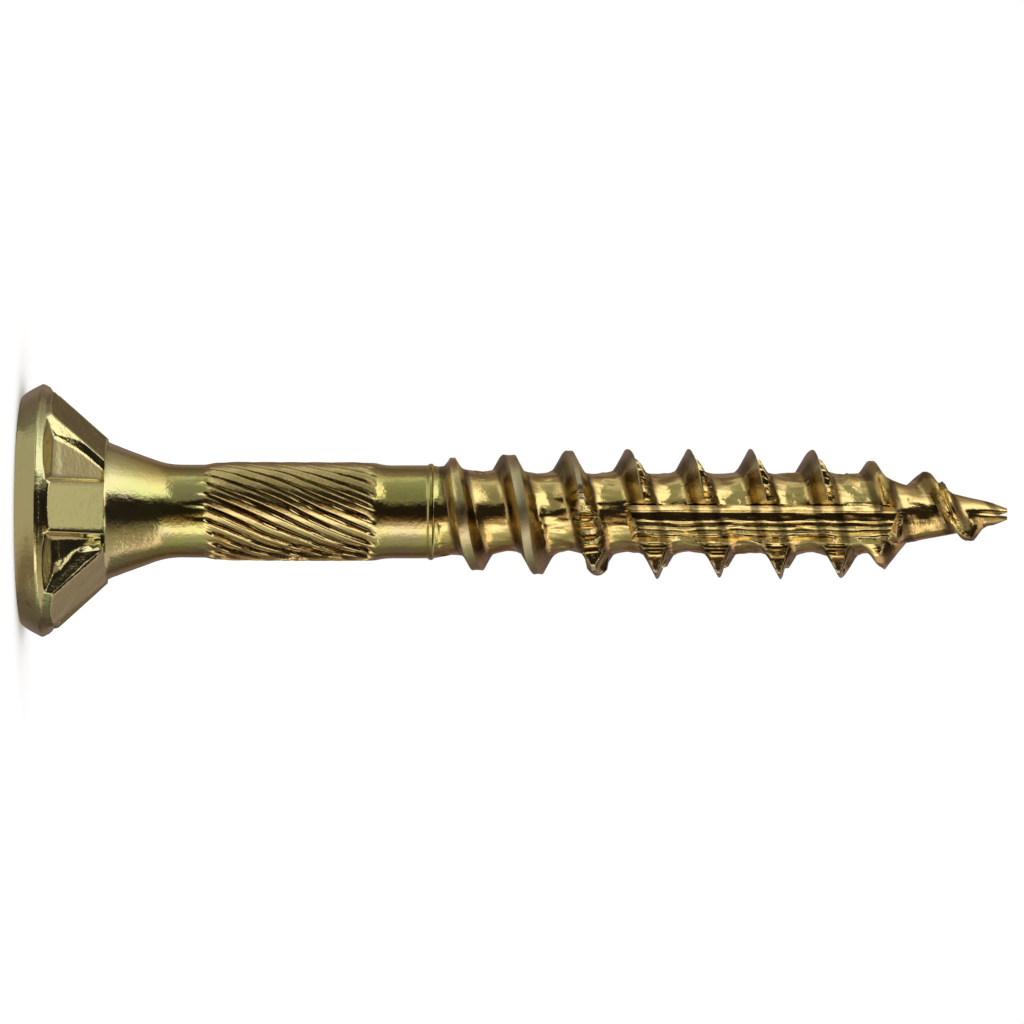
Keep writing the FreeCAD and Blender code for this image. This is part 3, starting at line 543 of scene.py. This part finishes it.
def rolled_relief_tree():
    """Presses the knurl's grooves, the thread's notches and small dents into the blank."""
    tree = bpy.data.node_groups.new("rolled_relief", "GeometryNodeTree")
    tree.interface.new_socket("Geometry", in_out="INPUT", socket_type="NodeSocketGeometry")
    for title, kind, unused in RELIEF_INPUTS:
        tree.interface.new_socket(title, in_out="INPUT", socket_type=kind)
    tree.interface.new_socket("Geometry", in_out="OUTPUT", socket_type="NodeSocketGeometry")
    f = Formula(tree)
    given = f.node("NodeGroupInput").outputs
    place = f.node("GeometryNodeInputPosition").outputs[0]
    split = f.node("ShaderNodeSeparateXYZ")
    f.plug(split.inputs[0], place)
    x, y, z = split.outputs
    flat = f.node("ShaderNodeCombineXYZ")
    f.plug(flat.inputs[0], x)
    f.plug(flat.inputs[1], y)
    outward = f.node("ShaderNodeVectorMath", operation="NORMALIZE")
    f.plug(outward.inputs[0], flat.outputs[0])
    seed = f.times(given["Seed"], 7.31)

    # Knurl: the share of the way across a groove, 0 on a ridge and 1 in a groove
    azimuth = f.over(f.math("ARCTAN2", y, x), 2 * math.pi)
    wander = f.times(f.less(f.noise(place, 420.0, 1.0, 0.5, seed), 0.5), 0.6)
    phase = f.add(f.times(f.less(azimuth, f.over(z, given["Groove lead"])), given["Grooves"]), wander)
    across = f.math("FRACT", phase)
    deeper, steeper, back = (f.rise(across, low, high, 0.0, change, "LINEAR") for low, high, change in GROOVE_STEPS)
    groove = f.add(f.add(deeper, steeper), back)
    ragged = f.times(f.less(f.noise(place, 900.0, 2.0, 0.6, seed), 0.5), 0.0016)
    level = f.add(z, ragged)
    band = f.times(f.rise(level, f.add(given["Knurl start"], -0.0001), f.add(given["Knurl start"], 0.0003)),
                   f.rise(f.add(z, f.times(ragged, 0.4)), given["Knurl end"], f.add(given["Knurl end"], -0.0003)))
    uneven = f.rise(f.noise(place, 700.0, 2.0, 0.5, f.add(seed, 3.0)), 0.25, 0.75, 0.7, 1.15)
    sunk = f.times(f.times(f.times(groove, band), given["Groove depth"]), uneven)

    # Notches: cuts with a long and a short face, right across the crest near turn 1 and in one flank from there on
    turn = f.attribute("turn")
    from_crest = f.attribute("across")
    flute = f.attribute("flute")
    counted = f.times(turn, given["Notches a turn"])
    along = f.math("FRACT", counted)
    tooth = f.math("MINIMUM", f.over(along, LONG_FACE), f.over(f.less(1.0, along), 1 - LONG_FACE))
    first, last = given["First notched turn"], given["Last notched turn"]
    where = f.times(f.rise(turn, f.less(first, 0.08), f.add(first, 0.08)),
                    f.rise(turn, f.add(last, 0.1), f.less(last, 0.1)))
    off_knob = f.rise(f.math("ABSOLUTE", f.less(turn, KNOB_TURN)), 0.05, 0.10)
    where = f.times(where, off_knob)
    edge = f.rise(turn, *NOTCH_TURNS, *NOTCH_EDGES)
    side = f.rise(f.less(from_crest, edge), -NOTCH_EASE, 0.0)
    own = f.node("ShaderNodeTexWhiteNoise", noise_dimensions="1D")
    f.plug(own.inputs["W"], f.add(f.math("FLOOR", counted), seed))
    notch_size = f.rise(own.outputs["Value"], 0.0, 1.0, 0.65, 1.3)
    floor = f.add(f.rise(turn, *NOTCH_TURNS, *NOTCH_FLOORS), f.times(from_crest, NOTCH_TILT))
    depth = f.add(f.times(f.times(tooth, notch_size), given["Notch depth"]), floor)
    reach = f.node("ShaderNodeVectorMath", operation="LENGTH")
    f.plug(reach.inputs[0], flat.outputs[0])
    level_left = f.math("MAXIMUM", f.less(given["Thread radius"], depth), NOTCH_LOWEST)
    notch = f.math("MAXIMUM", f.less(reach.outputs["Value"], level_left), 0.0)
    notch = f.times(f.times(f.times(notch, side), where), f.less(1.0, flute))

    # Dents and lumps all over but the face, and much stronger in the valleys of the thread
    coarse = f.less(f.noise(place, 1300.0, 2.0, 0.5, f.add(seed, 1.0)), 0.5)
    valley = f.rise(f.math("ABSOLUTE", from_crest), 0.00035, 0.0006)
    rolled = f.times(f.rise(z, 0.0175, 0.0205), f.rise(z, 0.037, 0.033, 0.3, 1.0))
    strength = f.add(0.30, f.times(f.times(rolled, valley), 3.0))
    lump = f.times(f.times(coarse, strength), given["Lump height"])
    off_face = f.less(1.0, f.math("LESS_THAN", z, 0.00001))
    lump = f.times(lump, off_face)

    radial = f.less(f.less(lump, sunk), notch)
    push = f.node("ShaderNodeVectorMath", operation="SCALE")
    f.plug(push.inputs[0], outward.outputs[0])
    f.plug(push.inputs["Scale"], radial)
    # The groove's share is kept for the material, which paints shade into the grooves with it
    kept = f.node("GeometryNodeStoreNamedAttribute", data_type="FLOAT", domain="POINT")
    kept.inputs["Name"].default_value = "sunk"
    f.plug(kept.inputs["Geometry"], given["Geometry"])
    f.plug(kept.inputs["Value"], f.times(groove, band))
    moved = f.node("GeometryNodeSetPosition")
    f.plug(moved.inputs["Geometry"], kept.outputs[0])
    f.plug(moved.inputs["Offset"], push.outputs[0])
    real = f.node("GeometryNodeRealizeInstances")
    f.plug(real.inputs[0], moved.outputs[0])
    covered = f.node("GeometryNodeSetMaterial")
    f.plug(covered.inputs["Geometry"], real.outputs[0])
    f.plug(covered.inputs["Material"], given["Material"])
    out = f.node("NodeGroupOutput")
    f.plug(out.inputs[0], covered.outputs[0])
    return tree


def press_relief(context, blank, settings, material):
    """Plain mesh of the blank with the relief tree's result."""
    tree = rolled_relief_tree()
    modifier = blank.modifiers.new("rolled_relief", "NODES")
    modifier.node_group = tree
    sockets = {item.name: item for item in tree.interface.items_tree if item.in_out == "INPUT"}
    for title, unused, setting in RELIEF_INPUTS:
        modifier[sockets[title].identifier] = getattr(settings, setting) if setting else material
    context.view_layer.update()
    seen = blank.evaluated_get(context.evaluated_depsgraph_get())
    mesh = bpy.data.meshes.new_from_object(seen)
    blank.modifiers.remove(modifier)
    blank.data = mesh
    return mesh


GOLD = (0.79, 0.655, 0.245)
OLIVE = (0.69, 0.69, 0.28)
ROSE = (0.74, 0.56, 0.37)
STAIN = (0.40, 0.28, 0.12)
BRONZE = (0.98, 0.73, 0.36)
BRASS = (1.0, 0.73, 0.32)
PALE = (0.75, 0.70, 0.45)
WORN = (0.60, 0.54, 0.42)
# Painted shade: a dark brown for the foot of the thread's flanks and the knurl's grooves
PAINTED_SHADE = (0.11, 0.07, 0.03)


class WoodScrewShape(bpy.types.PropertyGroup):
    """Sizes and tints of the rolled screw"""
    thread_pitch: bpy.props.FloatProperty(
        name="Pitch", description="Height of one turn of the coarse thread",
        default=0.002351, unit="LENGTH", precision=5)
    thread_radius: bpy.props.FloatProperty(
        name="Thread radius", description="Full crest of the coarse thread",
        default=0.002473, unit="LENGTH", precision=5)
    knurl_start: bpy.props.FloatProperty(
        name="Knurl start", description="Height where the knurl begins", default=0.00715, unit="LENGTH", precision=5)
    knurl_end: bpy.props.FloatProperty(
        name="Knurl end", description="Height where the knurl ends", default=0.01368, unit="LENGTH", precision=5)
    knurl_lead: bpy.props.FloatProperty(
        name="Knurl lead", description="Height of one whole turn of a groove",
        default=0.0249, unit="LENGTH", precision=5)
    flute_start: bpy.props.FloatProperty(
        name="Flute start", description="Height where the flute begins",
        default=0.02345, unit="LENGTH", precision=5)
    flute_end: bpy.props.FloatProperty(
        name="Flute end", description="Height where the flute ends", default=0.03375, unit="LENGTH", precision=5)
    grooves: bpy.props.IntProperty(name="Grooves", description="Grooves of the knurl", default=24, min=3)
    groove_depth: bpy.props.FloatProperty(
        name="Groove depth", description="Depth of the knurl's grooves", default=0.00017, unit="LENGTH", precision=5)
    notches: bpy.props.FloatProperty(name="Notches a turn", description="Notches in one turn of thread", default=28.0)
    notch_depth: bpy.props.FloatProperty(
        name="Notch depth", description="How far a notch's deepest line lies below its ends",
        default=0.00027, unit="LENGTH", precision=5)
    notch_first: bpy.props.FloatProperty(
        name="First notched turn", description="Turn of the thread where the notches begin", default=0.72)
    notch_last: bpy.props.FloatProperty(
        name="Last notched turn", description="Turn of the thread where the notches end", default=5.0)
    lump_height: bpy.props.FloatProperty(
        name="Lump height", description="Height of the small dents and lumps",
        default=0.00011, unit="LENGTH", precision=6)
    seed: bpy.props.IntProperty(name="Seed", description="Choice of dents and lumps", default=4)
    gold: bpy.props.FloatVectorProperty(
        name="Gold", description="Main tint of the chromate", default=GOLD, subtype="COLOR", size=3)
    olive: bpy.props.FloatVectorProperty(
        name="Olive", description="Tint of its greenish patches", default=OLIVE, subtype="COLOR", size=3)
    rose: bpy.props.FloatVectorProperty(
        name="Rose", description="Tint of its rosy patches", default=ROSE, subtype="COLOR", size=3)


class WOODSCREW_OT_screw(bpy.types.Operator):
    """Make the rolled screw and put it in place of the plain one"""
    bl_idname = "woodscrew.screw"
    bl_label = "Make the screw"

    def execute(self, context):
        shape = context.scene.wood_screw_shape
        screw = bpy.data.objects.new("rolled_screw", make_mesh("rolled_screw_blank", shape))
        context.scene.collection.objects.link(screw)
        mesh = press_relief(context, screw, shape, yellow_zinc(shape))
        mesh.name = "rolled_screw"
        mesh.shade_smooth()
        mesh.set_sharp_from_angle(angle=SHARP_ANGLE)
        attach(screw, "root")
        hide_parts(NODE)
        return {"FINISHED"}


def yellow_zinc(tints):
    """Bright yellow chromate: gold, with olive and rosy tints, painted shade dark in the hollows and greyer on the
    crests.
    """
    material = bpy.data.materials.new("yellow_zinc")
    material.use_nodes = True
    shader = material.node_tree.nodes["Principled BSDF"]
    f = Formula(material.node_tree, geometry=False)
    place = f.node("ShaderNodeTexCoord").outputs["Object"]
    split = f.node("ShaderNodeSeparateXYZ")
    f.plug(split.inputs[0], place)
    height = split.outputs[2]
    # Patterns: patches of two sizes, stains and fine grain
    green_patch = f.noise(place, 300.0, 3.0, 0.6, 1.0)
    rosy_patch = f.noise(place, 420.0, 3.0, 0.6, 7.0)
    mottle = f.noise(place, 1500.0, 4.0, 0.6, 3.0)
    grain = f.noise(place, 7000.0, 3.0, 0.6, 5.0)
    # Places: the thread with its crest and the foot of its flanks, and the knurl
    turn, off_crest = f.attribute("turn"), f.attribute("off_crest")
    threaded = f.rise(turn, -3.0, -2.0)
    reach = f.math("SQRT", f.add(f.math("POWER", split.outputs[0], 2.0), f.math("POWER", split.outputs[1], 2.0)))
    crest = f.times(threaded, f.rise(reach, 0.0020, 0.00235))
    foot = f.times(threaded, f.times(f.rise(off_crest, 0.00012, 0.00034), f.rise(off_crest, 0.00068, 0.00052)))
    knurl = f.times(f.rise(height, 0.0069, 0.0074), f.rise(height, 0.0138, 0.0134))
    flute = f.attribute("flute")
    head = f.rise(height, 0.0048, 0.0033)
    # The chromate's own tints
    olive_share = f.times(f.rise(green_patch, 0.42, 0.58), f.rise(threaded, 0.0, 1.0, 1.0, 0.35))
    tint = f.mix(tuple(tints.gold), tuple(tints.olive), olive_share)
    tint = f.mix(tint, tuple(tints.rose), f.times(f.rise(rosy_patch, 0.50, 0.66), 0.7))
    tint = f.mix(tint, BRASS, f.times(threaded, 0.85))
    tint = f.mix(tint, PALE, f.times(head, 0.6))
    tint = f.mix(tint, BRONZE, f.times(f.add(knurl, f.times(flute, 0.5)), 0.9))
    # Stains, worn crests, and painted shade at the foot of the flanks and in the knurl's grooves
    tint = f.mix(tint, STAIN, f.times(f.rise(mottle, 0.60, 0.74), 0.6))
    tint = f.mix(tint, WORN, f.times(crest, 0.75))
    tint = f.mix(tint, PAINTED_SHADE, f.times(foot, 0.75))
    tint = f.mix(tint, PAINTED_SHADE, f.times(f.rise(f.attribute("sunk"), 0.30, 0.85), 0.88))
    f.plug(shader.inputs["Base Color"], tint)
    shader.inputs["Metallic"].default_value = 1.0
    rough = f.add(f.rise(mottle, 0.3, 0.8, 0.07, 0.18), f.times(f.add(crest, foot), 0.10))
    # The wide crest of the first turns is duller
    wide_crest = f.times(crest, f.rise(turn, 0.9, 0.6))
    rough = f.add(rough, f.add(f.times(knurl, 0.07), f.times(wide_crest, 0.25)))
    f.plug(shader.inputs["Roughness"], rough)
    bump = f.node("ShaderNodeBump")
    bump.inputs["Strength"].default_value = 0.5
    bump.inputs["Distance"].default_value = 0.00002
    f.plug(bump.inputs["Height"], f.add(grain, f.times(mottle, 2.0)))
    f.plug(shader.inputs["Normal"], bump.outputs[0])
    return material


class WOODSCREW_OT_stage(bpy.types.Operator):
    """Build the floor, the cards that the screw mirrors, the lamps and the camera"""
    bl_idname = "woodscrew.stage"
    bl_label = "Build the studio"

    def execute(self, context):
        build_world(context.scene)
        build_floor(context)
        build_cards(context)
        build_lamps(context)
        build_camera(context)
        return {"FINISHED"}


def build_world(scene):
    world = bpy.data.worlds.new("studio")
    scene.world = world
    world.use_nodes = True
    background = world.node_tree.nodes["Background"]
    background.inputs["Color"].default_value = (1, 1, 1, 1)
    background.inputs["Strength"].default_value = 1.0


def build_floor(context):
    mesh = bpy.data.meshes.new("floor")
    reach = 0.6
    corners = [(-reach, -reach, 0), (reach, -reach, 0), (reach, reach, 0), (-reach, reach, 0)]
    mesh.from_pydata(corners, [], [(0, 1, 2, 3)])
    floor = bpy.data.objects.new("floor", mesh)
    context.scene.collection.objects.link(floor)
    material = bpy.data.materials.new("floor_white")
    material.use_nodes = True
    shader = material.node_tree.nodes["Principled BSDF"]
    shader.inputs["Base Color"].default_value = (0.98, 0.98, 0.98, 1)
    shader.inputs["Roughness"].default_value = 1.0
    shader.inputs["Specular IOR Level"].default_value = 0.0
    shader.inputs["Emission Color"].default_value = (1, 1, 1, 1)
    shader.inputs["Emission Strength"].default_value = 0.06
    mesh.materials.append(material)
    floor.visible_glossy = False


# Light that the screw mirrors, by the angle in degrees round its axis from the camera, positive towards the lower
# side of the picture: straight across, from farther up towards the point, from near the lid, and from below
LEVEL_LIGHT = (
    (-180, 0.20, 0.15, 0.14), (-150, 0.26, 0.20, 0.18), (-128, 0.12, 0.10, 0.09), (-113, 0.19, 0.16, 0.14),
    (-98, 0.27, 0.26, 0.22), (-90, 0.62, 0.64, 0.56), (-80, 0.36, 0.40, 0.31), (-62, 0.265, 0.30, 0.22),
    (-46, 0.24, 0.27, 0.19), (-36, 0.19, 0.21, 0.15), (-29, 0.26, 0.27, 0.20), (-21, 0.12, 0.12, 0.09),
    (-17, 0.016, 0.014, 0.012), (11, 0.016, 0.013, 0.010), (17, 0.09, 0.06, 0.03), (25, 0.26, 0.19, 0.11),
    (32, 0.55, 0.48, 0.34), (38, 0.85, 0.80, 0.66), (43, 1.34, 1.34, 1.20), (54, 1.30, 1.33, 1.18),
    (60, 0.62, 0.64, 0.54), (72, 0.38, 0.41, 0.32), (86, 0.30, 0.34, 0.22), (102, 0.14, 0.14, 0.11),
    (115, 0.16, 0.13, 0.11), (130, 0.08, 0.055, 0.045), (153, 0.20, 0.15, 0.14), (180, 0.20, 0.15, 0.14))
HIGH_LIGHT = (
    (-180, 0.34, 0.27, 0.12), (-160, 0.34, 0.27, 0.12), (-148, 0.10, 0.08, 0.07), (-120, 0.28, 0.24, 0.21),
    (-100, 0.42, 0.40, 0.33), (-80, 0.85, 0.85, 0.76), (-66, 1.28, 1.30, 1.20), (-40, 1.26, 1.28, 1.16),
    (-34, 0.42, 0.42, 0.34), (-26, 0.05, 0.042, 0.035), (-22, 0.02, 0.016, 0.014), (22, 0.02, 0.016, 0.014),
    (34, 0.14, 0.11, 0.08), (52, 0.32, 0.27, 0.18), (71, 0.42, 0.37, 0.27), (92, 0.60, 0.48, 0.42),
    (120, 0.55, 0.44, 0.40), (150, 0.22, 0.17, 0.16), (163, 0.38, 0.28, 0.24), (174, 0.38, 0.28, 0.24),
    (180, 0.34, 0.27, 0.12))
TOP_LIGHT = (
    (-180, 0.20, 0.16, 0.12), (-125, 0.30, 0.24, 0.20), (-95, 0.46, 0.37, 0.33), (-80, 0.60, 0.55, 0.45),
    (-66, 1.5, 1.48, 1.3), (-18, 1.5, 1.48, 1.3), (-12, 0.20, 0.17, 0.11), (-7, 0.03, 0.02, 0.015),
    (9, 0.03, 0.02, 0.015), (18, 1.2, 1.18, 1.0), (42, 1.2, 1.18, 1.0), (54, 0.05, 0.04, 0.03),
    (90, 0.016, 0.014, 0.012), (125, 0.016, 0.014, 0.012), (150, 0.10, 0.08, 0.06), (180, 0.20, 0.16, 0.12))
LOW_LIGHT = (
    (-180, 0.10, 0.08, 0.07), (-110, 0.20, 0.18, 0.15), (-70, 0.70, 0.70, 0.60), (-40, 0.70, 0.70, 0.58),
    (-28, 0.20, 0.18, 0.14), (-18, 0.03, 0.025, 0.02), (14, 0.03, 0.025, 0.02), (25, 0.25, 0.21, 0.15),
    (40, 0.95, 0.90, 0.78), (56, 0.95, 0.90, 0.78), (75, 0.40, 0.37, 0.28), (110, 0.16, 0.13, 0.11),
    (180, 0.10, 0.08, 0.07))
# A warm card low on the lower side, for the flanks of the thread
SIDE_CARD = (1.20, 1.06, 0.84)
# Light of the lid by the place along X
LID_LIGHT = ((-0.5, 0.40, 0.36, 0.30), (-0.15, 0.55, 0.53, 0.42), (0.0, 0.60, 0.60, 0.46), (0.07, 0.55, 0.54, 0.42),
             (0.13, 0.08, 0.06, 0.04), (0.5, 0.05, 0.04, 0.03))
TABLE_LIGHT = ((0.46, 0.42, 0.34), (0.20, 0.16, 0.12))
# Tube round the screw, in metres, and the height from which its slopes are reckoned
SURROUND_RADIUS = 0.5
SURROUND_LOW, SURROUND_HIGH = -0.5, 1.2
SURROUND_STEPS = 96
SLOPE_ZERO = 0.02
# Lamps: degrees round the axis from the camera, watts and width, and what they share
LAMPS = (("lamp_above", -70, 0.10, 0.05), ("lamp_below", 50, 0.08, 0.04))
LAMP_LENGTH, LAMP_DISTANCE, LAMP_HEIGHT, LAMP_AIM = 0.20, 0.30, 0.12, 0.018
# The photo's camera: width in pixels, millimetres to a pixel, millimetres away, and the pixels from the middle of the
# head's face to the middle of the picture
PHOTO_WIDTH, PIXEL, CAMERA_AWAY, SENSOR = 1024, 0.03864, 270, 36
PIXELS_ALONG, PIXELS_UP = 490, 0.6
CAMERA_TILT = math.radians(0.22)


def light_ramp(f, place, stops, low, high):
    """Colour ramp over a range of places."""
    made = f.node("ShaderNodeValToRGB")
    ramp = made.color_ramp.elements
    ramp.remove(ramp[-1])
    ramp[0].position = 0
    ramp[0].color = (*stops[0][1:], 1)
    for where, *colour in stops[1:]:
        ramp.new((where - low) / (high - low)).color = (*colour, 1)
    f.plug(made.inputs[0], f.over(f.less(place, low), high - low))
    return made.outputs[0]


def glow(name, paint):
    """Emission whose colour a function paints from the place."""
    material = bpy.data.materials.new(name)
    material.use_nodes = True
    material.node_tree.nodes.clear()
    f = Formula(material.node_tree, geometry=False)
    split = f.node("ShaderNodeSeparateXYZ")
    f.plug(split.inputs[0], f.node("ShaderNodeTexCoord").outputs["Object"])
    emission = f.node("ShaderNodeEmission")
    f.plug(emission.inputs["Color"], paint(f, *split.outputs))
    f.plug(f.node("ShaderNodeOutputMaterial").inputs[0], emission.outputs[0])
    return material


def surround_paint(f, x, y, z):
    around = f.math("WRAP", f.less(f.math("ARCTAN2", y, x), FACES_CAMERA), math.pi, -math.pi)
    angle = f.times(around, 180 / math.pi)
    level, high, top, low = (light_ramp(f, angle, stops, -180, 180)
                             for stops in (LEVEL_LIGHT, HIGH_LIGHT, TOP_LIGHT, LOW_LIGHT))
    slope = f.over(f.less(z, SLOPE_ZERO), SURROUND_RADIUS)
    early = f.rise(angle, -12, 12, 0.15, 0.42)
    colour = f.mix(level, high, f.rise(slope, early, f.add(early, 0.10)))
    card = f.times(f.times(f.rise(angle, 44, 54), f.rise(angle, 94, 84)),
                   f.times(f.rise(slope, 0.28, 0.34), f.rise(slope, 0.50, 0.44)))
    colour = f.mix(colour, SIDE_CARD, card)
    steep = f.rise(angle, 55, 80, 1.3, 0.95)
    colour = f.mix(colour, top, f.rise(slope, steep, f.add(steep, 0.22)))
    return f.mix(colour, low, f.rise(slope, -0.25, -0.7))


def lid_paint(f, x, y, z):
    return light_ramp(f, x, LID_LIGHT, -0.5, 0.5)


def table_paint(f, x, y, z):
    return f.mix(*TABLE_LIGHT, f.rise(x, 0.1, 0.4))


def add_card(context, name, points, faces, material):
    """Card of the studio that only mirror rays see."""
    mesh = bpy.data.meshes.new(name)
    mesh.from_pydata(points, [], faces)
    mesh.materials.append(material)
    card = bpy.data.objects.new(name, mesh)
    context.scene.collection.objects.link(card)
    card.visible_camera = False
    card.visible_diffuse = False
    card.visible_shadow = False
    card.visible_transmission = False
    card.visible_volume_scatter = False


def build_cards(context):
    """Tall tube of soft panels round the screw, with a lid and a table card."""
    steps = SURROUND_STEPS
    ring = [(SURROUND_RADIUS * math.cos(2 * math.pi * step / steps),
             SURROUND_RADIUS * math.sin(2 * math.pi * step / steps)) for step in range(steps)]
    bottom, top = ([(x, y, level) for x, y in ring] for level in (SURROUND_LOW, SURROUND_HIGH))
    sides = [(step, (step + 1) % steps, steps + (step + 1) % steps, steps + step) for step in range(steps)]
    disc = [tuple(range(steps))]
    add_card(context, "surround", bottom + top, sides, glow("surround", surround_paint))
    add_card(context, "lid", top, disc, glow("lid", lid_paint))
    add_card(context, "table_card", bottom, disc, glow("table_card", table_paint))


def build_lamps(context):
    for name, angle, power, width in LAMPS:
        light = bpy.data.lights.new(name, "AREA")
        light.shape = "RECTANGLE"
        light.size = width
        light.size_y = LAMP_LENGTH
        light.energy = power
        lamp = bpy.data.objects.new(name, light)
        context.scene.collection.objects.link(lamp)
        around = FACES_CAMERA + math.radians(angle)
        place = Vector((LAMP_DISTANCE * math.cos(around), LAMP_DISTANCE * math.sin(around), LAMP_HEIGHT))
        lamp.location = place
        lamp.rotation_mode = "QUATERNION"
        lamp.rotation_quaternion = (place - Vector((0, 0, LAMP_AIM))).to_track_quat("Z", "Y")
        lamp.visible_glossy = False


def build_camera(context):
    """Camera with the screw's axis along the picture and its head on the left."""
    camera_data = bpy.data.cameras.new("camera")
    camera_data.sensor_width = SENSOR
    camera_data.lens = SENSOR * CAMERA_AWAY / (PHOTO_WIDTH * PIXEL)
    camera_data.clip_start = 0.01
    camera_data.clip_end = 10
    camera = bpy.data.objects.new("camera", camera_data)
    context.scene.collection.objects.link(camera)
    back = Vector((math.cos(FACES_CAMERA), math.sin(FACES_CAMERA), 0))
    up = Vector((math.sin(FACES_CAMERA), -math.cos(FACES_CAMERA), 0))
    along = Vector((0, 0, 1))
    right = along * math.cos(CAMERA_TILT) + up * math.sin(CAMERA_TILT)
    top = up * math.cos(CAMERA_TILT) - along * math.sin(CAMERA_TILT)
    aim = along * (PIXELS_ALONG * PIXEL * MM) + top * (PIXELS_UP * PIXEL * MM)
    place = aim + back * (CAMERA_AWAY * MM)
    turn = Matrix((right, top, back)).transposed().to_4x4()
    camera.matrix_world = Matrix.Translation(place) @ turn
    context.scene.camera = camera
    context.scene.view_settings.view_transform = "Standard"


class WOODSCREW_PT_panel(bpy.types.Panel):
    bl_label = "Wood Screw"
    bl_idname = "WOODSCREW_PT_panel"
    bl_space_type = "VIEW_3D"
    bl_region_type = "UI"
    bl_category = "Wood Screw"

    def draw(self, context):
        shape = context.scene.wood_screw_shape
        for title in WoodScrewShape.__annotations__:
            self.layout.prop(shape, title)
        self.layout.operator("woodscrew.screw")
        self.layout.operator("woodscrew.stage")


CLASSES = (WoodScrewShape, WOODSCREW_OT_screw, WOODSCREW_OT_stage, WOODSCREW_PT_panel)


def register():
    for item in CLASSES:
        bpy.utils.register_class(item)
    bpy.types.Scene.wood_screw_shape = bpy.props.PointerProperty(type=WoodScrewShape)


def unregister():
    del bpy.types.Scene.wood_screw_shape
    for item in reversed(CLASSES):
        bpy.utils.unregister_class(item)


def main():
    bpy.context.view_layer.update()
    register()
    bpy.ops.woodscrew.screw()
    bpy.ops.woodscrew.stage()
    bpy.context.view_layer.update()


if __name__ == "__main__":
    main()
